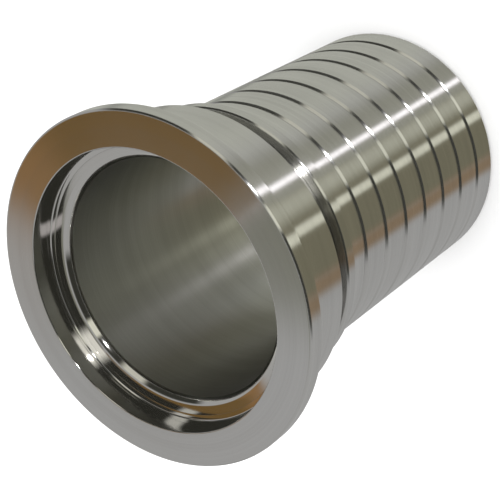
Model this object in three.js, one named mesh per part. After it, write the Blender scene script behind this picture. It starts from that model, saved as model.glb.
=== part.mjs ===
// Hygienic clamp hose stem: a recessed-face clamp ferrule on a grooved tube that a hose slides over.
//
// The axis is Z. The hose end stands on the XY plane and the sealing face looks up, so the origin is the
// centre of the hose end. Every size is in millimetres. The diameters are built up from the bore outwards,
// and the lengths are measured down from the sealing face, as they are when such a piece is turned.

import * as THREE from 'three';

// Overall sizes.
const OVERALL_LENGTH = 79.6;        // hose end to sealing face
const BORE_DIAMETER = 43.8;

// Stem.
const STEM_WALL = 2.6;
const LIP_ROUNDING = 1.6;           // bore lip at the bottom of the recess
const LIP_EDGE_BREAK = 0.2;
const HOSE_END_CHAMFER = 0.8;
const BORE_END_CHAMFER = 0.4;

// Recess in the sealing face.
const RECESS_DEPTH = 4.75;
const RECESS_LEDGE = 0.7;           // ring of floor between the recess wall and the stem's socket
const RECESS_FLOOR_FILLET = 0.5;
const RECESS_MOUTH_ROUNDING = 0.2;

// Clamp flange.
const FACE_WIDTH = 6.5;             // flat ring that seals, recess wall to rim
const RIM_THICKNESS = 3.3;          // straight part of the rim, face side to back edge
const FLANK_ANGLE = 20;             // degrees: slope of the flange's back, where the clamp wedges
const RIM_FACE_ROUNDING = 0.9;
const RIM_BACK_ROUNDING = 0.5;

// Hub behind the flange.
const HUB_WALL = 3.5;               // hub radius beyond the stem radius
const HUB_REAR = 16.0;              // sealing face to the hub's rear shoulder
const HUB_FLANGE_FILLET = 2.6;
const HUB_REAR_ROUNDING = 0.3;

// Lock groove and the collar behind it, where a crimped sleeve takes hold.
const LOCK_GROOVE_WIDTH = 4.8;
const COLLAR_WALL = 1.7;            // collar radius beyond the stem radius
const COLLAR_WIDTH = 2.7;
const COLLAR_ROUNDING = 0.35;

// Hose grip grooves. They repeat for as long as the stem has room before its plain end.
const GRIP_GROOVE_PITCH = 7.17;
const GRIP_GROOVE_WIDTH = 1.2;
const GRIP_GROOVE_DEPTH = 0.4;
const COLLAR_TO_FIRST_GROOVE = 6.1; // collar's rear to the middle of the first groove
const PLAIN_END = 6.0;              // least length of stem between the last groove and the hose end

// The ferrule and the collar slide over the stem with this much room on the radius.
const SLIP_FIT = 0.3;

const SIDES = 72;                   // flats round each turned piece
const ARC_STEPS = 2;                // three.js draws twice this many segments on each rounding

// Sizes that follow from the ones above.
const boreRadius = BORE_DIAMETER / 2;
const stemRadius = boreRadius + STEM_WALL;
const socketRadius = stemRadius + SLIP_FIT;
const recessRadius = socketRadius + RECESS_LEDGE;
const flangeRadius = recessRadius + FACE_WIDTH;
const hubRadius = stemRadius + HUB_WALL;
const collarRadius = stemRadius + COLLAR_WALL;
const faceZ = OVERALL_LENGTH;
const recessFloorZ = faceZ - RECESS_DEPTH;
const hubRearZ = faceZ - HUB_REAR;
const collarFrontZ = hubRearZ - LOCK_GROOVE_WIDTH;
const collarRearZ = collarFrontZ - COLLAR_WIDTH;
const firstGrooveZ = collarRearZ - COLLAR_TO_FIRST_GROOVE;

// Turns a list of corners [radius, height, rounding] into a closed outline, with an arc at each rounded
// corner. Where a wall is too short for the roundings at its two ends, they share it in proportion.
function roundedOutline(corners) {
  const cornerAt = (index) => {
    const [radius, height, rounding = 0] = corners[(index + corners.length) % corners.length];
    return { point: new THREE.Vector2(radius, height), rounding };
  };
  const path = new THREE.Path();
  const goTo = (point, isFirst) => {
    if (isFirst) {
      path.moveTo(point.x, point.y);
    } else {
      path.lineTo(point.x, point.y);
    }
  };
  corners.forEach((_, index) => {
    const { point, rounding } = cornerAt(index);
    if (rounding === 0) {
      goTo(point, index === 0);
      return;
    }
    const walls = [cornerAt(index - 1), cornerAt(index + 1)].map((neighbour) => {
      const along = neighbour.point.sub(point);
      const room = along.length() * rounding / (rounding + neighbour.rounding);
      return { room, along: along.normalize() };
    });
    const [back, ahead] = walls.map((wall) => wall.along);
    const halfAngle = Math.acos(back.dot(ahead)) / 2;
    const reach = Math.min(rounding / Math.tan(halfAngle), 0.98 * walls[0].room, 0.98 * walls[1].room);
    const radius = reach * Math.tan(halfAngle);
    const inward = back.clone().add(ahead).normalize();
    const centre = point.clone().addScaledVector(inward, radius / Math.sin(halfAngle));
    const start = point.clone().addScaledVector(back, reach);
    const end = point.clone().addScaledVector(ahead, reach);
    goTo(start, index === 0);
    path.absarc(
      centre.x,
      centre.y,
      radius,
      start.sub(centre).angle(),
      end.sub(centre).angle(),
      back.cross(ahead) > 0,
    );
  });
  path.closePath();
  return path.getPoints(ARC_STEPS);
}

// Spins a closed outline, listed counter-clockwise, round the Z axis.
function turned(name, corners, material) {
  const geometry = new THREE.LatheGeometry(roundedOutline(corners), SIDES);
  geometry.rotateX(Math.PI / 2);
  const mesh = new THREE.Mesh(geometry, material);
  mesh.name = name;
  return mesh;
}

function turnedSteel(color, roughness) {
  return new THREE.MeshStandardMaterial({ color, roughness, metalness: 1 });
}

// Flange, recess and hub in one turned piece, with a through socket for the stem.
function clampFerrule() {
  const flankDrop = (flangeRadius - hubRadius) * Math.tan(THREE.MathUtils.degToRad(FLANK_ANGLE));
  const rimBackZ = faceZ - RIM_THICKNESS;
  const corners = [
    [socketRadius, recessFloorZ],
    [socketRadius, hubRearZ],
    [hubRadius, hubRearZ, HUB_REAR_ROUNDING],
    [hubRadius, rimBackZ - flankDrop, HUB_FLANGE_FILLET],
    [flangeRadius, rimBackZ, RIM_BACK_ROUNDING],
    [flangeRadius, faceZ, RIM_FACE_ROUNDING],
    [recessRadius, faceZ, RECESS_MOUTH_ROUNDING],
    [recessRadius, recessFloorZ, RECESS_FLOOR_FILLET],
  ];
  return turned('clamp_ferrule', corners, turnedSteel('#a8a69d', 0.3));
}

// One vee-shaped grip groove, listed from its hose side to its flange side.
function gripGroove(middleZ) {
  return [
    [stemRadius, middleZ - GRIP_GROOVE_WIDTH / 2],
    [stemRadius - GRIP_GROOVE_DEPTH, middleZ],
    [stemRadius, middleZ + GRIP_GROOVE_WIDTH / 2],
  ];
}

// Tube that the hose slides over. Its front end is the rounded lip at the bottom of the recess.
function hoseStem() {
  const lastIndex = Math.floor((firstGrooveZ - PLAIN_END) / GRIP_GROOVE_PITCH);
  const grooves = [];
  for (let index = lastIndex; index >= 0; index -= 1) {
    grooves.push(...gripGroove(firstGrooveZ - index * GRIP_GROOVE_PITCH));
  }
  const corners = [
    [boreRadius, recessFloorZ, LIP_ROUNDING],
    [boreRadius, BORE_END_CHAMFER],
    [boreRadius + BORE_END_CHAMFER, 0],
    [stemRadius - HOSE_END_CHAMFER, 0],
    [stemRadius, HOSE_END_CHAMFER],
    ...grooves,
    [stemRadius, recessFloorZ, LIP_EDGE_BREAK],
  ];
  return turned('hose_stem', corners, turnedSteel('#9c9b92', 0.35));
}

// Ring on the stem that closes the back of the lock groove.
function lockCollar() {
  const corners = [
    [socketRadius, collarFrontZ],
    [socketRadius, collarRearZ],
    [collarRadius, collarRearZ, COLLAR_ROUNDING],
    [collarRadius, collarFrontZ, COLLAR_ROUNDING],
  ];
  return turned('lock_collar', corners, turnedSteel('#a2a098', 0.32));
}

const hoseStemFitting = new THREE.Group();
hoseStemFitting.add(clampFerrule(), hoseStem(), lockCollar());

export default hoseStemFitting;
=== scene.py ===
"""Hygienic clamp hose stem: three turned stainless pieces, dressed and lit for a studio picture.

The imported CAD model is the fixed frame. Each class below turns one piece from its section
and gives it its finishes. All lengths are metres in the CAD model's own frame, +Z along the axis.
"""

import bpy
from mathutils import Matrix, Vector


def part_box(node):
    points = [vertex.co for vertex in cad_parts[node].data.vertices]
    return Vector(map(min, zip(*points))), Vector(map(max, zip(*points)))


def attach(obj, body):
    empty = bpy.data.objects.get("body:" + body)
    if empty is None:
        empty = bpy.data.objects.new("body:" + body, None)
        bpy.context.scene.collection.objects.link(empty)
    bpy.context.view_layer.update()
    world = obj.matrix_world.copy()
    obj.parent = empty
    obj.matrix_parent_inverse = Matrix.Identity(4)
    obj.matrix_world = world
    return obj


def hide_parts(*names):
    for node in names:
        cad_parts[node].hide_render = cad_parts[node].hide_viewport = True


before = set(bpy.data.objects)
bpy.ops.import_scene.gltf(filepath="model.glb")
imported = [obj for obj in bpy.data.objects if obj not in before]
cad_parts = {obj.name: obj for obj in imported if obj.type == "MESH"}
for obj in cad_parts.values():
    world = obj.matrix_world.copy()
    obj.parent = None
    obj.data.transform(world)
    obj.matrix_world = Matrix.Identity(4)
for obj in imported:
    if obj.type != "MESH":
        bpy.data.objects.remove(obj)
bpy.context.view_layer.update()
NODE_BOXES = {node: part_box(node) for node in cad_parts}

import logging
import math
from dataclasses import dataclass, field
from enum import Enum
from typing import Callable, Optional, Sequence, Tuple

import bmesh
import bpy
from mathutils import Matrix, Quaternion, Vector

log = logging.getLogger("hose_stem")

MM = 0.001
FULL_TURN = 2.0 * math.pi
HALF_TURN_DEG = 180.0
TURN_STEPS = 288
JOIN_DISTANCE = 1e-7
CHAMFER = 1
AREA_WEIGHT = 100
ACROSS_THE_MARKS = 0.25

Colour = Tuple[float, float, float]


class Zone(Enum):
    """The differently finished surfaces of a turned piece, in material slot order."""

    TURNED = 0
    POLISHED = 1
    HONED = 2
    FACED = 3


ZoneRule = Callable[[float, float], Zone]


@dataclass(frozen=True)
class Corner:
    """One corner of a turned section.

    Attributes:
        radius: Distance from the axis.
        height: Place along the axis.
        rounding: Radius of the fillet or rounding at the corner, or the size of a chamfer.
        steps: Segments across the rounding. One step makes a chamfer.
    """

    radius: float
    height: float
    rounding: float = 0.0
    steps: int = 6

    @property
    def place(self) -> Vector:
        """The corner in the XZ plane, where the section is drawn."""
        return Vector((self.radius, 0.0, self.height))


def trim_length(before: Vector, here: Vector, after: Vector, corner: Corner) -> float:
    """Works out how far from a corner its rounding starts.

    Args:
        before: The corner before this one.
        here: This corner.
        after: The corner after this one.
        corner: The corner's own data.

    Returns:
        The length cut from each of the two sides that meet at the corner.
    """
    if corner.steps == CHAMFER:
        return corner.rounding
    turn = math.pi - (before - here).angle(after - here)
    return corner.rounding * math.tan(turn / 2.0)


def turned_mesh(name: str, corners: Sequence[Corner], zone_at: ZoneRule) -> bpy.types.Mesh:
    """Rounds a section's corners and spins it once round the axis.

    Args:
        name: The mesh's name.
        corners: The section's corners in order.
        zone_at: Names the finish at a radius and a height.

    Returns:
        A closed mesh with outward faces, smooth shading and a zone on every face.
    """
    bm = bmesh.new()
    places = [corner.place for corner in corners]
    points = [bm.verts.new(place) for place in places]
    bm.faces.new(points)
    for index, corner in enumerate(corners):
        if corner.rounding <= 0.0:
            continue
        ahead = places[(index + 1) % len(places)]
        length = trim_length(places[index - 1], places[index], ahead, corner)
        bmesh.ops.bevel(
            bm,
            geom=[points[index]],
            offset=length,
            offset_type="OFFSET",
            segments=corner.steps,
            profile=0.5,
            affect="VERTICES",
            clamp_overlap=False,
            material=-1,
        )
    bmesh.ops.delete(bm, geom=bm.faces[:], context="FACES_ONLY")
    bmesh.ops.spin(
        bm,
        geom=bm.verts[:] + bm.edges[:],
        cent=(0.0, 0.0, 0.0),
        axis=(0.0, 0.0, 1.0),
        dvec=(0.0, 0.0, 0.0),
        angle=FULL_TURN,
        space=Matrix.Identity(4),
        steps=TURN_STEPS,
        use_merge=True,
        use_normal_flip=False,
        use_duplicate=False,
    )
    bmesh.ops.remove_doubles(bm, verts=bm.verts, dist=JOIN_DISTANCE)
    bmesh.ops.recalc_face_normals(bm, faces=bm.faces)
    for face in bm.faces:
        middle = face.calc_center_median()
        face.smooth = True
        face.material_index = zone_at(math.hypot(middle.x, middle.y), middle.z).value
    mesh = bpy.data.meshes.new(name)
    bm.to_mesh(mesh)
    bm.free()
    return mesh


def settled(piece: bpy.types.Object) -> bpy.types.Object:
    """Gives a piece normals weighed by face area, so that flats shade flat beside their roundings.

    Args:
        piece: A linked mesh object.

    Returns:
        The same object, with no modifier left on it.
    """
    weigh = piece.modifiers.new("flat_normals", "WEIGHTED_NORMAL")
    weigh.mode = "FACE_AREA"
    weigh.weight = AREA_WEIGHT
    weigh.keep_sharp = False
    bpy.context.view_layer.update()
    graph = bpy.context.evaluated_depsgraph_get()
    weighed = piece.evaluated_get(graph)
    finished = bpy.data.meshes.new_from_object(weighed, preserve_all_data_layers=True, depsgraph=graph)
    piece.modifiers.clear()
    rough = piece.data
    name = rough.name
    piece.data = finished
    bpy.data.meshes.remove(rough)
    finished.name = name
    return piece


class Sheet:
    """A small helper that lays out and links shader nodes."""

    def __init__(self, tree: bpy.types.NodeTree) -> None:
        """Starts on an emptied node tree.

        Args:
            tree: The node tree to fill.
        """
        self.tree = tree
        tree.nodes.clear()

    def add(self, kind: str, inputs: Optional[dict] = None, **settings: object) -> bpy.types.Node:
        """Adds a node.

        Args:
            kind: The node's type name.
            inputs: Values or sockets for the node's inputs, by name or index.
            **settings: Properties of the node itself.

        Returns:
            The new node.
        """
        node = self.tree.nodes.new(kind)
        for key, value in settings.items():
            setattr(node, key, value)
        for key, value in (inputs or {}).items():
            if isinstance(value, bpy.types.NodeSocket):
                self.tree.links.new(value, node.inputs[key])
            else:
                node.inputs[key].default_value = value
        return node

    def math(self, operation: str, *values: object) -> bpy.types.NodeSocket:
        """Adds a Math node and returns its value."""
        node = self.add("ShaderNodeMath", dict(enumerate(values)), operation=operation)
        return node.outputs[0]

    def ease(
        self, value: object, start: float, end: float, low: float, high: float
    ) -> bpy.types.NodeSocket:
        """Adds a smooth ramp.

        Args:
            value: The socket that is mapped.
            start: Where the ramp starts.
            end: Where the ramp ends.
            low: The result at the start.
            high: The result at the end.

        Returns:
            The eased value.
        """
        inputs = {0: value, 1: start, 2: end, 3: low, 4: high}
        node = self.add("ShaderNodeMapRange", inputs, interpolation_type="SMOOTHSTEP")
        return node.outputs[0]

    def blend(self, amount: object, first: object, second: object) -> bpy.types.NodeSocket:
        """Mixes two colours.

        Args:
            amount: The share of the second colour.
            first: A colour or socket.
            second: A colour or socket.

        Returns:
            The mixed colour.
        """
        node = self.add("ShaderNodeMix", {0: amount}, data_type="RGBA")
        for socket, value in ((node.inputs[6], first), (node.inputs[7], second)):
            if isinstance(value, bpy.types.NodeSocket):
                self.tree.links.new(value, socket)
            else:
                socket.default_value = (*value, 1.0)
        return node.outputs[2]


@dataclass(frozen=True)
class SteelFinish:
    """A lathe-turned, polished or honed stainless finish.

    Attributes:
        name: The material's name.
        tint: The metal's colour.
        dull_tint: The colour in the slightly duller rings.
        roughness: The middle roughness.
        roughness_swing: How far the rings move the roughness.
        anisotropy: How far the tool marks stretch a highlight across them.
        ring_pitch: The spacing of the visible tool marks.
        ring_depth: The height of the tool marks.
        ring_drift: How much a tool mark changes on its way round.
        broad_scale: The broad bands' frequency, as a share of the tool marks'.
        broad_share: The broad bands' part in the colour.
        haze_scale: The frequency of the faint haze, per metre.
        tone_range: The part of the noise over which the colour turns from dull to bright.
        mark_range: The part of the noise over which the roughness swings.
    """

    name: str
    tint: Colour
    dull_tint: Colour
    roughness: float
    roughness_swing: float
    anisotropy: float
    ring_pitch: float
    ring_depth: float
    ring_drift: float = 0.35
    broad_scale: float = 0.08
    broad_share: float = 0.45
    haze_scale: float = 90.0
    tone_range: Tuple[float, float] = (0.35, 0.65)
    mark_range: Tuple[float, float] = (0.3, 0.7)

    def build(self) -> bpy.types.Material:
        """Makes the node material.

        Returns:
            The finished material.
        """
        material = bpy.data.materials.new(self.name)
        material.use_nodes = True
        sheet = Sheet(material.node_tree)
        place = sheet.add("ShaderNodeTexCoord").outputs["Object"]
        parts = sheet.add("ShaderNodeSeparateXYZ", {0: place}).outputs
        level = sheet.add("ShaderNodeCombineXYZ", {0: parts[0], 1: parts[1]}).outputs[0]
        radius = sheet.add("ShaderNodeVectorMath", {0: level}, operation="LENGTH").outputs["Value"]
        around = sheet.add("ShaderNodeVectorMath", {0: level}, operation="NORMALIZE").outputs[0]
        turn = sheet.add("ShaderNodeSeparateXYZ", {0: around}).outputs
        across = 1.0 / self.ring_pitch
        track = sheet.add(
            "ShaderNodeCombineXYZ",
            {
                0: sheet.math("MULTIPLY", radius, across),
                1: sheet.math("MULTIPLY", parts[2], across),
                2: sheet.math("MULTIPLY", turn[0], self.ring_drift),
            },
        ).outputs[0]
        lap = sheet.math("MULTIPLY", turn[1], self.ring_drift)
        fine = sheet.add(
            "ShaderNodeTexNoise",
            {"Vector": track, "W": lap, "Scale": 1.0, "Detail": 3.0, "Roughness": 0.6},
            noise_dimensions="4D",
        ).outputs[0]
        broad = sheet.add(
            "ShaderNodeTexNoise",
            {"Vector": track, "W": lap, "Scale": self.broad_scale, "Detail": 2.0, "Roughness": 0.5},
            noise_dimensions="4D",
        ).outputs[0]
        haze = sheet.add(
            "ShaderNodeTexNoise",
            {"Vector": place, "Scale": self.haze_scale, "Detail": 3.0, "Roughness": 0.55},
        ).outputs[0]
        fine_part = sheet.math("MULTIPLY", fine, 1.0 - self.broad_share)
        shade = sheet.math("ADD", fine_part, sheet.math("MULTIPLY", broad, self.broad_share))
        tone = sheet.ease(shade, *self.tone_range, 0.0, 1.0)
        colour = sheet.blend(tone, self.dull_tint, self.tint)
        low = self.roughness - self.roughness_swing
        high = self.roughness + self.roughness_swing
        mark = sheet.math("ADD", sheet.math("MULTIPLY", broad, 0.5), sheet.math("MULTIPLY", haze, 0.5))
        rough = sheet.ease(mark, *self.mark_range, high, low)
        bump = sheet.add(
            "ShaderNodeBump",
            {"Strength": 1.0, "Distance": self.ring_depth, "Height": fine},
        ).outputs[0]
        tangent = sheet.add("ShaderNodeTangent", direction_type="RADIAL", axis="Z").outputs[0]
        shader = sheet.add(
            "ShaderNodeBsdfPrincipled",
            {
                "Base Color": colour,
                "Metallic": 1.0,
                "Roughness": rough,
                "Anisotropic": self.anisotropy,
                "Anisotropic Rotation": ACROSS_THE_MARKS,
                "Normal": bump,
                "Tangent": tangent,
            },
            distribution="GGX",
        )
        sheet.add("ShaderNodeOutputMaterial", {"Surface": shader.outputs[0]})
        return material


TURNED_STEEL = SteelFinish(
    name="turned_steel",
    tint=(0.625, 0.62, 0.605),
    dull_tint=(0.565, 0.56, 0.545),
    roughness=0.19,
    roughness_swing=0.02,
    anisotropy=1.0,
    ring_pitch=0.16 * MM,
    ring_depth=0.003 * MM,
)
POLISHED_STEEL = SteelFinish(
    name="polished_steel",
    tint=(0.63, 0.62, 0.60),
    dull_tint=(0.60, 0.59, 0.57),
    roughness=0.09,
    roughness_swing=0.015,
    anisotropy=0.8,
    ring_pitch=0.12 * MM,
    ring_depth=0.0002 * MM,
)
FACED_STEEL = SteelFinish(
    name="faced_steel",
    tint=(0.625, 0.62, 0.61),
    dull_tint=(0.59, 0.585, 0.575),
    roughness=0.1,
    roughness_swing=0.012,
    anisotropy=1.0,
    ring_pitch=0.14 * MM,
    ring_depth=0.0003 * MM,
)
HONED_STEEL = SteelFinish(
    name="honed_steel",
    tint=(0.54, 0.54, 0.51),
    dull_tint=(0.48, 0.48, 0.45),
    roughness=0.33,
    roughness_swing=0.02,
    anisotropy=0.55,
    ring_pitch=0.2 * MM,
    ring_depth=0.0006 * MM,
)


@dataclass
class TurnedPiece:
    """What every turned piece shares.

    Attributes:
        node: The CAD node that the piece stands for.
        piece_name: The visible piece's name.
        slot_name: The record's material slot. Not used.
        finishes: The finish of each zone, in the zones' order.
    """

    node: str
    piece_name: str
    slot_name: str
    finishes: Tuple[SteelFinish, ...] = (TURNED_STEEL, POLISHED_STEEL, HONED_STEEL, FACED_STEEL)

    def section(self) -> Sequence[Corner]:
        """The corners of the piece's section, in order."""
        raise NotImplementedError

    def zone_at(self, radius: float, height: float) -> Zone:
        """The finish at a place on the section."""
        return Zone.TURNED

    def build(self, shop: "Workshop") -> bpy.types.Object:
        """Turns the piece, dresses it and sets it on its body.

        Args:
            shop: Holds the materials already made.

        Returns:
            The finished object.
        """
        mesh = turned_mesh(self.piece_name, self.section(), self.zone_at)
        for finish in self.finishes:
            mesh.materials.append(shop.material(finish))
        piece = bpy.data.objects.new(self.piece_name, mesh)
        bpy.context.scene.collection.objects.link(piece)
        settled(piece)
        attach(piece, "root")
        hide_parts(self.node)
        log.info("%s: %d vertices, stands for %s", piece.name, len(piece.data.vertices), self.node)
        return piece


@dataclass
class Workshop:
    """Keeps each finish's material, so that pieces share it.

    Attributes:
        made: The materials already made, by the finish's name.
    """

    made: dict = field(default_factory=dict)

    def material(self, finish: SteelFinish) -> bpy.types.Material:
        """Finds a finish's material, or makes it the first time.

        Args:
            finish: The finish that is wanted.

        Returns:
            The finish's material.
        """
        if finish.name not in self.made:
            self.made[finish.name] = finish.build()
        return self.made[finish.name]


def half_width(node: str) -> float:
    """The outer radius of a CAD node."""
    return NODE_BOXES[node][1].x


def low_end(node: str) -> float:
    """The lowest height of a CAD node."""
    return NODE_BOXES[node][0].z


def high_end(node: str) -> float:
    """The highest height of a CAD node."""
    return NODE_BOXES[node][1].z


@dataclass
class ClampFerrule(TurnedPiece):
    """The recessed clamp flange with its hub, turned in one piece.

    Attributes:
        face_width: Width of the flat sealing face, from the recess to the rim.
        rim_thickness: Straight height of the rim.
        flank_angle: Slope of the flange's back, which the clamp bears on.
        hub_wall: How far the hub stands out from the stem.
        hub_fillet: Fillet between the flange's back and the hub.
        rim_face_rounding: Rounding of the rim's front edge.
        rim_back_rounding: Rounding of the rim's back edge.
        mouth_rounding: Rounding of the recess's mouth.
        floor_fillet: Fillet between the recess's wall and floor.
        floor_dish: Fall of the recess's floor towards the bore.
        hub_rear_rounding: Rounding of the hub's rear edge.
        seam: Room between the socket and the stem.
        hidden_break: Break on the socket's corners.
        wall_margin: How far past the recess's wall still counts as the recess.
        floor_margin: How far under the stem's lip still counts as the recess.
        face_margin: How far under the sealing face still counts as the face.
    """

    node: str = "clamp_ferrule"
    piece_name: str = "clamp_ferrule_turned"
    slot_name: str = "ferrule_steel"
    face_width: float = 6.5 * MM
    rim_thickness: float = 3.3 * MM
    flank_angle: float = math.radians(20.0)
    hub_wall: float = 3.5 * MM
    hub_fillet: float = 2.6 * MM
    rim_face_rounding: float = 0.5 * MM
    rim_back_rounding: float = 0.5 * MM
    mouth_rounding: float = 0.2 * MM
    floor_fillet: float = 0.3 * MM
    floor_dish: float = math.radians(7.0)
    hub_rear_rounding: float = 0.3 * MM
    seam: float = 0.008 * MM
    hidden_break: float = 0.015 * MM
    wall_margin: float = 0.05 * MM
    floor_margin: float = 0.1 * MM
    face_margin: float = 0.02 * MM

    def section(self) -> Sequence[Corner]:
        """Lays out the ferrule's section, from the recess's mouth outwards.

        Returns:
            The section's corners.
        """
        rim = half_width(self.node)
        face = high_end(self.node)
        rear = low_end(self.node)
        stem = half_width("hose_stem")
        floor = high_end("hose_stem")
        hub = stem + self.hub_wall
        recess = rim - self.face_width
        socket = stem + self.seam
        back = face - self.rim_thickness
        root = back - (rim - hub) * math.tan(self.flank_angle)
        floor_edge = floor + (recess - socket) * math.tan(self.floor_dish)
        return [
            Corner(recess, face, self.mouth_rounding, steps=4),
            Corner(rim, face, self.rim_face_rounding, steps=8),
            Corner(rim, back, self.rim_back_rounding, steps=6),
            Corner(hub, root, self.hub_fillet, steps=10),
            Corner(hub, rear, self.hub_rear_rounding, steps=5),
            Corner(socket, rear, self.hidden_break, steps=2),
            Corner(socket, floor, self.hidden_break, steps=2),
            Corner(recess, floor_edge, self.floor_fillet, steps=6),
        ]

    def zone_at(self, radius: float, height: float) -> Zone:
        """Tells the polished recess, the faced sealing face and the turned rest apart.

        Args:
            radius: Distance from the axis.
            height: Place along the axis.

        Returns:
            The zone there.
        """
        recess = half_width(self.node) - self.face_width + self.wall_margin
        if radius < recess and height > high_end("hose_stem") - self.floor_margin:
            return Zone.POLISHED
        on_face = height > high_end(self.node) - self.face_margin
        return Zone.FACED if on_face else Zone.TURNED


@dataclass
class HoseStem(TurnedPiece):
    """The tube that the hose slides over, with round-nosed grip grooves.

    Attributes:
        wall: Thickness of the tube.
        lip_rounding: Rounding where the lip turns into the bore.
        lip_edge_break: Break on the lip's outer edge.
        lip_dish: Fall of the lip towards the bore.
        hose_end_chamfer: Chamfer on the hose end's outer edge.
        bore_end_chamfer: Chamfer on the hose end's inner edge.
        groove_pitch: Spacing of the grip grooves.
        groove_width: Width of a grip groove at the surface.
        groove_depth: Depth of a grip groove.
        groove_nose: Width of a groove's floor, as a share of its width.
        groove_edge_break: Break on a groove's edges.
        groove_floor_rounding: Rounding of a groove's floor.
        first_groove_gap: From the collar to the middle of the first groove.
        plain_end: Length at the hose end that has no groove.
        lip_margin: How far under the lip's rounding still counts as the lip.
        bore_margin: How far past the bore's wall still counts as the bore.
    """

    node: str = "hose_stem"
    piece_name: str = "hose_stem_turned"
    slot_name: str = "stem_steel"
    wall: float = 2.6 * MM
    lip_rounding: float = 1.6 * MM
    lip_edge_break: float = 0.015 * MM
    lip_dish: float = math.radians(7.0)
    hose_end_chamfer: float = 0.8 * MM
    bore_end_chamfer: float = 0.4 * MM
    groove_pitch: float = 7.17 * MM
    groove_width: float = 1.2 * MM
    groove_depth: float = 0.4 * MM
    groove_nose: float = 0.62
    groove_edge_break: float = 0.06 * MM
    groove_floor_rounding: float = 0.3 * MM
    first_groove_gap: float = 6.1 * MM
    plain_end: float = 6.0 * MM
    lip_margin: float = 0.3 * MM
    bore_margin: float = 0.05 * MM

    def groove(self, outer: float, middle: float) -> Sequence[Corner]:
        """Lays out the four corners of one grip groove, from its upper edge down.

        Args:
            outer: The stem's radius.
            middle: The height of the groove's middle.

        Returns:
            The groove's corners.
        """
        half = self.groove_width / 2.0
        nose = half * self.groove_nose
        floor = outer - self.groove_depth
        return [
            Corner(outer, middle + half, self.groove_edge_break, steps=3),
            Corner(floor, middle + nose, self.groove_floor_rounding, steps=5),
            Corner(floor, middle - nose, self.groove_floor_rounding, steps=5),
            Corner(outer, middle - half, self.groove_edge_break, steps=3),
        ]

    def section(self) -> Sequence[Corner]:
        """Lays out the stem's section, from the lip down the outside and up the bore.

        Returns:
            The section's corners.
        """
        outer = half_width(self.node)
        front = high_end(self.node)
        end = low_end(self.node)
        bore = outer - self.wall
        lip = front - self.wall * math.tan(self.lip_dish)
        corners = [
            Corner(bore, lip, self.lip_rounding, steps=12),
            Corner(outer, front, self.lip_edge_break, steps=3),
        ]
        middle = low_end("lock_collar") - self.first_groove_gap
        while middle > end + self.plain_end:
            corners.extend(self.groove(outer, middle))
            middle -= self.groove_pitch
        corners.append(Corner(outer, end, self.hose_end_chamfer, steps=CHAMFER))
        corners.append(Corner(bore, end, self.bore_end_chamfer, steps=CHAMFER))
        return corners

    def zone_at(self, radius: float, height: float) -> Zone:
        """Tells the polished lip, the honed bore and the turned outside apart.

        Args:
            radius: Distance from the axis.
            height: Place along the axis.

        Returns:
            The zone there.
        """
        if height > high_end(self.node) - self.lip_rounding - self.lip_margin:
            return Zone.POLISHED
        bore = half_width(self.node) - self.wall + self.bore_margin
        return Zone.HONED if radius < bore else Zone.TURNED


@dataclass
class LockCollar(TurnedPiece):
    """The ring behind the lock groove.

    Attributes:
        rounding: Rounding of the two outer edges.
        seam: Room between the ring and the stem.
        hidden_break: Break on the two inner edges.
    """

    node: str = "lock_collar"
    piece_name: str = "lock_collar_turned"
    slot_name: str = "collar_steel"
    rounding: float = 0.5 * MM
    seam: float = 0.03 * MM
    hidden_break: float = 0.03 * MM

    def section(self) -> Sequence[Corner]:
        """Lays out the ring's section, from the upper inner edge outwards.

        Returns:
            The section's four corners.
        """
        inner = half_width("hose_stem") + self.seam
        outer = half_width(self.node)
        top = high_end(self.node)
        bottom = low_end(self.node)
        return [
            Corner(inner, top, self.hidden_break, steps=2),
            Corner(outer, top, self.rounding, steps=6),
            Corner(outer, bottom, self.rounding, steps=6),
            Corner(inner, bottom, self.hidden_break, steps=2),
        ]


class Station(Enum):
    """The height on the axis from which a card is laid out, as a share of the face's height."""

    SHANK = 0.5
    FACE = 1.0


@dataclass(frozen=True)
class Card:
    """A soft reflection card.

    Its place is the surface normal that mirrors it to the front camera, which keeps its
    edges true along turned surfaces: a bearing round the axis and a lean away from +Z.

    Attributes:
        bearing: Middle bearing in degrees.
        reach: Half its width in bearing.
        lean: Middle lean in degrees.
        spread: Half its width in lean.
        colour: Its light.
        soft: Half the width of its soft edge in bearing.
        fade: Half the width of its soft edge in lean.
        station: Where its layout is taken from.
    """

    bearing: float
    reach: float
    lean: float
    spread: float
    colour: Colour
    soft: float = 3.0
    fade: float = 3.0
    station: Station = Station.SHANK


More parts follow.
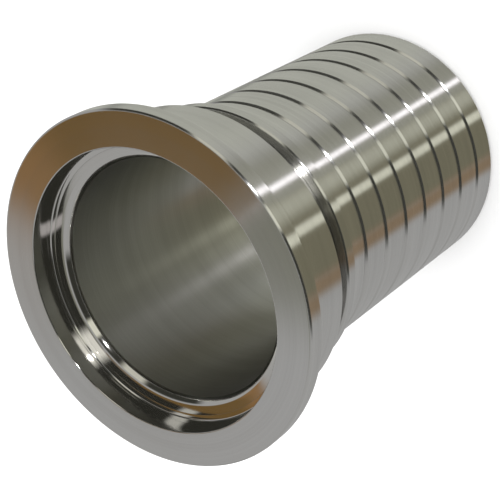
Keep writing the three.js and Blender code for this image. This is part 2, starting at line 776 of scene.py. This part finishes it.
@dataclass
class Studio:
    """Camera, floor, flash and the surroundings that the steel reflects.

    Attributes:
        face_height: Height of the sealing face above the floor.
        eye_setback: Level distance from the axis to the camera.
        eye_rise: Height of the camera above the sealing face.
        aim: The point that the camera looks at.
        roll: Turn of the camera about its own line of sight, in degrees.
        lens: Focal length in millimetres.
        sensor: Width of the camera's sensor in millimetres.
        clip: The nearest and the farthest distance that the camera sees.
        flash_rise: Distance from the lens to the flash.
        flash_size: Diameter of the flash.
        flash_power: Power of the flash in watts.
        floor_radius: Radius of the round floor.
        floor_segments: Sides of the round floor.
        plain_strength: Strength of the white light on the floor and behind the part.
        cards: What the steel reflects, from the lowest card to the one on top.
        echo_cards: What shows in light that the steel passes on a second time.
        echo_depth: The ray depth above which light counts as passed on a second time.
        echo_fade: How far such light has to rise before it shows only its own cards.
    """

    face_height: float
    eye_setback: float = 167.73 * MM
    eye_rise: float = 158.98 * MM
    aim: Tuple[float, float, float] = (-2.82 * MM, 0.0, 52.31 * MM)
    roll: float = 122.5
    lens: float = 100.07
    sensor: float = 36.0
    clip: Tuple[float, float] = (0.01, 50.0)
    flash_rise: float = 72.0 * MM
    flash_size: float = 12.0 * MM
    flash_power: float = 0.28
    floor_radius: float = 4.0
    floor_segments: int = 96
    plain_strength: float = 1.6
    cards: Sequence[Card] = ()
    echo_cards: Sequence[Card] = ()
    echo_depth: float = 2.5
    echo_fade: float = 0.3

    def eye(self) -> Vector:
        """The camera's place."""
        return Vector((0.0, -self.eye_setback, self.face_height + self.eye_rise))

    def turn(self) -> Quaternion:
        """The camera's rotation: it looks at the aim point, rolled about its own axis."""
        look = (Vector(self.aim) - self.eye()).to_track_quat("-Z", "Y")
        return look @ Quaternion((0.0, 0.0, 1.0), math.radians(-self.roll))

    def build_camera(self) -> bpy.types.Object:
        """Makes the camera and gives it to the scene.

        Returns:
            The camera object.
        """
        data = bpy.data.cameras.new("front_camera")
        data.lens = self.lens
        data.sensor_width = self.sensor
        data.clip_start, data.clip_end = self.clip
        camera = bpy.data.objects.new("front_camera", data)
        camera.rotation_mode = "QUATERNION"
        camera.location = self.eye()
        camera.rotation_quaternion = self.turn()
        bpy.context.scene.collection.objects.link(camera)
        bpy.context.scene.camera = camera
        return camera

    def build_flash(self) -> bpy.types.Object:
        """Makes the small lamp above the lens, which draws the narrow highlights.

        Returns:
            The lamp object.
        """
        data = bpy.data.lights.new("flash", "AREA")
        data.shape = "DISK"
        data.size = self.flash_size
        data.energy = self.flash_power
        lamp = bpy.data.objects.new("flash", data)
        lamp.location = self.eye() + self.turn() @ Vector((0.0, self.flash_rise, 0.0))
        lamp.rotation_mode = "QUATERNION"
        aim = Vector((0.0, 0.0, self.face_height)) - lamp.location
        lamp.rotation_quaternion = aim.to_track_quat("-Z", "Y")
        lamp.visible_diffuse = False
        lamp.visible_camera = False
        bpy.context.scene.collection.objects.link(lamp)
        return lamp

    def build_floor(self) -> bpy.types.Object:
        """Makes the plain pale floor.

        Returns:
            The floor object.
        """
        bm = bmesh.new()
        bmesh.ops.create_circle(bm, cap_ends=True, segments=self.floor_segments, radius=self.floor_radius)
        mesh = bpy.data.meshes.new("floor")
        bm.to_mesh(mesh)
        bm.free()
        material = bpy.data.materials.new("pale_floor")
        material.use_nodes = True
        sheet = Sheet(material.node_tree)
        paint = sheet.add("ShaderNodeBsdfDiffuse", {"Color": (*PALE_FLOOR, 1.0)})
        sheet.add("ShaderNodeOutputMaterial", {"Surface": paint.outputs[0]})
        mesh.materials.append(material)
        floor = bpy.data.objects.new("floor", mesh)
        floor.visible_glossy = False
        bpy.context.scene.collection.objects.link(floor)
        return floor

    def layout(
        self, sheet: Sheet, outward: bpy.types.NodeSocket, station: Station
    ) -> Tuple[bpy.types.NodeSocket, bpy.types.NodeSocket]:
        """Turns a direction of light into the bearing and lean of the normal that mirrors it.

        Args:
            sheet: The world's node sheet.
            outward: The direction of light.
            station: Where the layout is taken from.

        Returns:
            The bearing and the lean, in degrees.
        """
        to_eye = (self.eye() - Vector((0.0, 0.0, self.face_height * station.value))).normalized()
        normal = sheet.add("ShaderNodeVectorMath", {0: outward, 1: to_eye}, operation="ADD").outputs[0]
        parts = sheet.add("ShaderNodeSeparateXYZ", {0: normal}).outputs
        level = sheet.add("ShaderNodeCombineXYZ", {0: parts[0], 1: parts[1]}).outputs[0]
        flat = sheet.add("ShaderNodeVectorMath", {0: level}, operation="LENGTH").outputs["Value"]
        bearing = sheet.math("MULTIPLY", sheet.math("ARCTAN2", parts[1], parts[0]), math.degrees(1.0))
        lean = sheet.math("MULTIPLY", sheet.math("ARCTAN2", flat, parts[2]), math.degrees(1.0))
        return bearing, lean

    def build_world(self) -> bpy.types.World:
        """Paints the surroundings: white for the floor and the camera, cards for the steel.

        Returns:
            The world.
        """
        world = bpy.data.worlds.new("studio")
        world.use_nodes = True
        bpy.context.scene.world = world
        world.cycles.sampling_method = "NONE"
        sheet = Sheet(world.node_tree)
        outward = sheet.add("ShaderNodeTexCoord").outputs["Generated"]
        layouts = {station: self.layout(sheet, outward, station) for station in Station}
        direct = self.paint(sheet, layouts, ROOM_GREY, self.cards)
        echo = self.paint(sheet, layouts, ROOM_DARK, self.echo_cards)
        path = sheet.add("ShaderNodeLightPath").outputs
        rise = sheet.add("ShaderNodeSeparateXYZ", {0: outward}).outputs[2]
        upward = sheet.ease(rise, 0.0, self.echo_fade, 0.0, 1.0)
        again = sheet.math("GREATER_THAN", path["Ray Depth"], self.echo_depth)
        light = sheet.blend(sheet.math("MULTIPLY", upward, again), direct, echo)
        cards = sheet.add("ShaderNodeBackground", {"Color": light, "Strength": 1.0}).outputs[0]
        white = {"Color": (*PLAIN_WHITE, 1.0), "Strength": self.plain_strength}
        plain = sheet.add("ShaderNodeBackground", white).outputs[0]
        both = sheet.add("ShaderNodeMixShader", {0: path["Is Glossy Ray"], 1: plain, 2: cards}).outputs[0]
        sheet.add("ShaderNodeOutputWorld", {"Surface": both})
        return world

    def paint(
        self, sheet: Sheet, layouts: dict, base: Colour, cards: Sequence[Card]
    ) -> bpy.types.NodeSocket:
        """Lays cards over a plain base light.

        Args:
            sheet: The world's node sheet.
            layouts: The bearing and lean of the light's direction, by station.
            base: The light beside the cards.
            cards: The cards, from the lowest to the one on top.

        Returns:
            The light's colour.
        """
        light = sheet.add("ShaderNodeRGB").outputs[0]
        light.default_value = (*base, 1.0)
        for card in cards:
            bearing, lean = layouts[card.station]
            turn = sheet.math("SUBTRACT", bearing, card.bearing)
            off = sheet.math("ABSOLUTE", sheet.math("WRAP", turn, HALF_TURN_DEG, -HALF_TURN_DEG))
            side = sheet.ease(off, card.reach - card.soft, card.reach + card.soft, 1.0, 0.0)
            gap = sheet.math("ABSOLUTE", sheet.math("SUBTRACT", lean, card.lean))
            rise = sheet.ease(gap, card.spread - card.fade, card.spread + card.fade, 1.0, 0.0)
            light = sheet.blend(sheet.math("MULTIPLY", side, rise), light, card.colour)
        return light

    def build(self) -> None:
        """Builds the whole studio."""
        self.build_camera()
        self.build_flash()
        self.build_floor()
        self.build_world()
        bpy.context.scene.view_settings.view_transform = "Standard"


ROOM_DARK: Colour = (0.05, 0.05, 0.042)
ROOM_GREY: Colour = (0.5, 0.5, 0.495)
OLIVE: Colour = (0.25, 0.235, 0.165)
BROWN: Colour = (0.205, 0.125, 0.045)
AMBER: Colour = (0.34, 0.195, 0.085)
STRIP_LIGHT: Colour = (1.9, 1.85, 1.9)
PLAIN_WHITE: Colour = (1.0, 1.0, 1.0)
PALE_FLOOR: Colour = (0.92, 0.92, 0.92)

# The middle and the half width of each kind of card in lean, in degrees.
WALL_BAND = (120.0, 48.0)
EDGE_BAND = (50.0, 22.0)
FACE_BAND = (8.0, 13.0)
ECHO_BAND = (45.0, 40.0)


def wall_card(bearing: float, reach: float, colour: Colour, soft: float) -> Card:
    """A card seen in the outer walls, whose normals are level."""
    return Card(bearing, reach, *WALL_BAND, colour, soft)


def edge_card(bearing: float, reach: float, colour: Colour, soft: float) -> Card:
    """A card seen in grooves and edge roundings, whose normals lean half way."""
    return Card(bearing, reach, *EDGE_BAND, colour, soft, fade=4.0)


def face_card(bearing: float, reach: float, colour: Colour, soft: float) -> Card:
    """A card seen in the clamp face, whose normal points nearly straight up."""
    return Card(bearing, reach, *FACE_BAND, colour, soft, fade=2.0, station=Station.FACE)


def echo_card(bearing: float, reach: float, colour: Colour, soft: float) -> Card:
    """A card seen in the recess's wall, by light that its floor turns back up."""
    return Card(bearing, reach, *ECHO_BAND, colour, soft)


CARDS = (
    # From the upper outline round to the lower one.
    wall_card(-30.0, 36.0, (0.61, 0.62, 0.555), 12.0),
    wall_card(-75.5, 7.0, (0.40, 0.40, 0.34), 5.0),
    wall_card(-100.5, 18.0, OLIVE, 1.5),
    wall_card(-121.0, 3.4, (0.34, 0.25, 0.165), 2.4),
    wall_card(-99.1, 1.7, (0.97, 0.97, 0.81), 0.7),
    wall_card(-89.7, 3.6, (0.56, 0.56, 0.46), 3.2),
    wall_card(-84.5, 1.8, (0.4, 0.4, 0.34), 1.5),
    wall_card(-81.3, 1.1, STRIP_LIGHT, 0.7),
    wall_card(-17.0, 3.0, (0.4, 0.41, 0.37), 2.5),
    # The dark side of the room and its two windows, seen in edges and grooves.
    edge_card(-74.0, 54.0, ROOM_DARK, 4.0),
    edge_card(-61.0, 7.0, (0.78, 0.77, 0.67), 2.5),
    edge_card(-90.0, 4.5, (1.0, 1.0, 0.85), 1.5),
    # A wide light behind the part, and the dark under it that the bore sees.
    Card(90.0, 42.0, 27.0, 10.0, (0.85, 0.85, 0.82), soft=12.0, fade=4.0),
    Card(90.0, 80.0, 58.0, 16.0, ROOM_DARK, soft=8.0, fade=5.0),
    # Warm on one side of the face, grey on the other.
    face_card(-108.0, 30.0, (0.26, 0.26, 0.215), 14.0),
    face_card(-32.0, 47.0, BROWN, 3.0),
    face_card(8.5, 8.5, AMBER, 7.0),
    face_card(-73.0, 8.0, (0.25, 0.2, 0.145), 5.0),
    face_card(-80.3, 0.9, (0.62, 0.6, 0.6), 0.8),
)

ECHO_CARDS = (
    # Glints on the recess's wall, from the left one round to the right one.
    echo_card(-140.0, 3.0, (0.8, 0.77, 0.78), 1.5),
    echo_card(-84.0, 7.0, (1.6, 1.6, 1.5), 3.0),
    echo_card(-32.0, 4.0, (0.9, 0.9, 0.85), 2.0),
)


def main() -> None:
    """Builds the pieces in order, then the studio."""
    logging.basicConfig(level=logging.INFO, format="%(name)s: %(message)s")
    shop = Workshop()
    for piece in (HoseStem(), LockCollar(), ClampFerrule()):
        piece.build(shop)
    studio = Studio(face_height=high_end("clamp_ferrule"), cards=CARDS, echo_cards=ECHO_CARDS)
    studio.build()
    log.info("studio: %d cards, %d echo cards", len(CARDS), len(ECHO_CARDS))


if __name__ == "__main__":
    main()
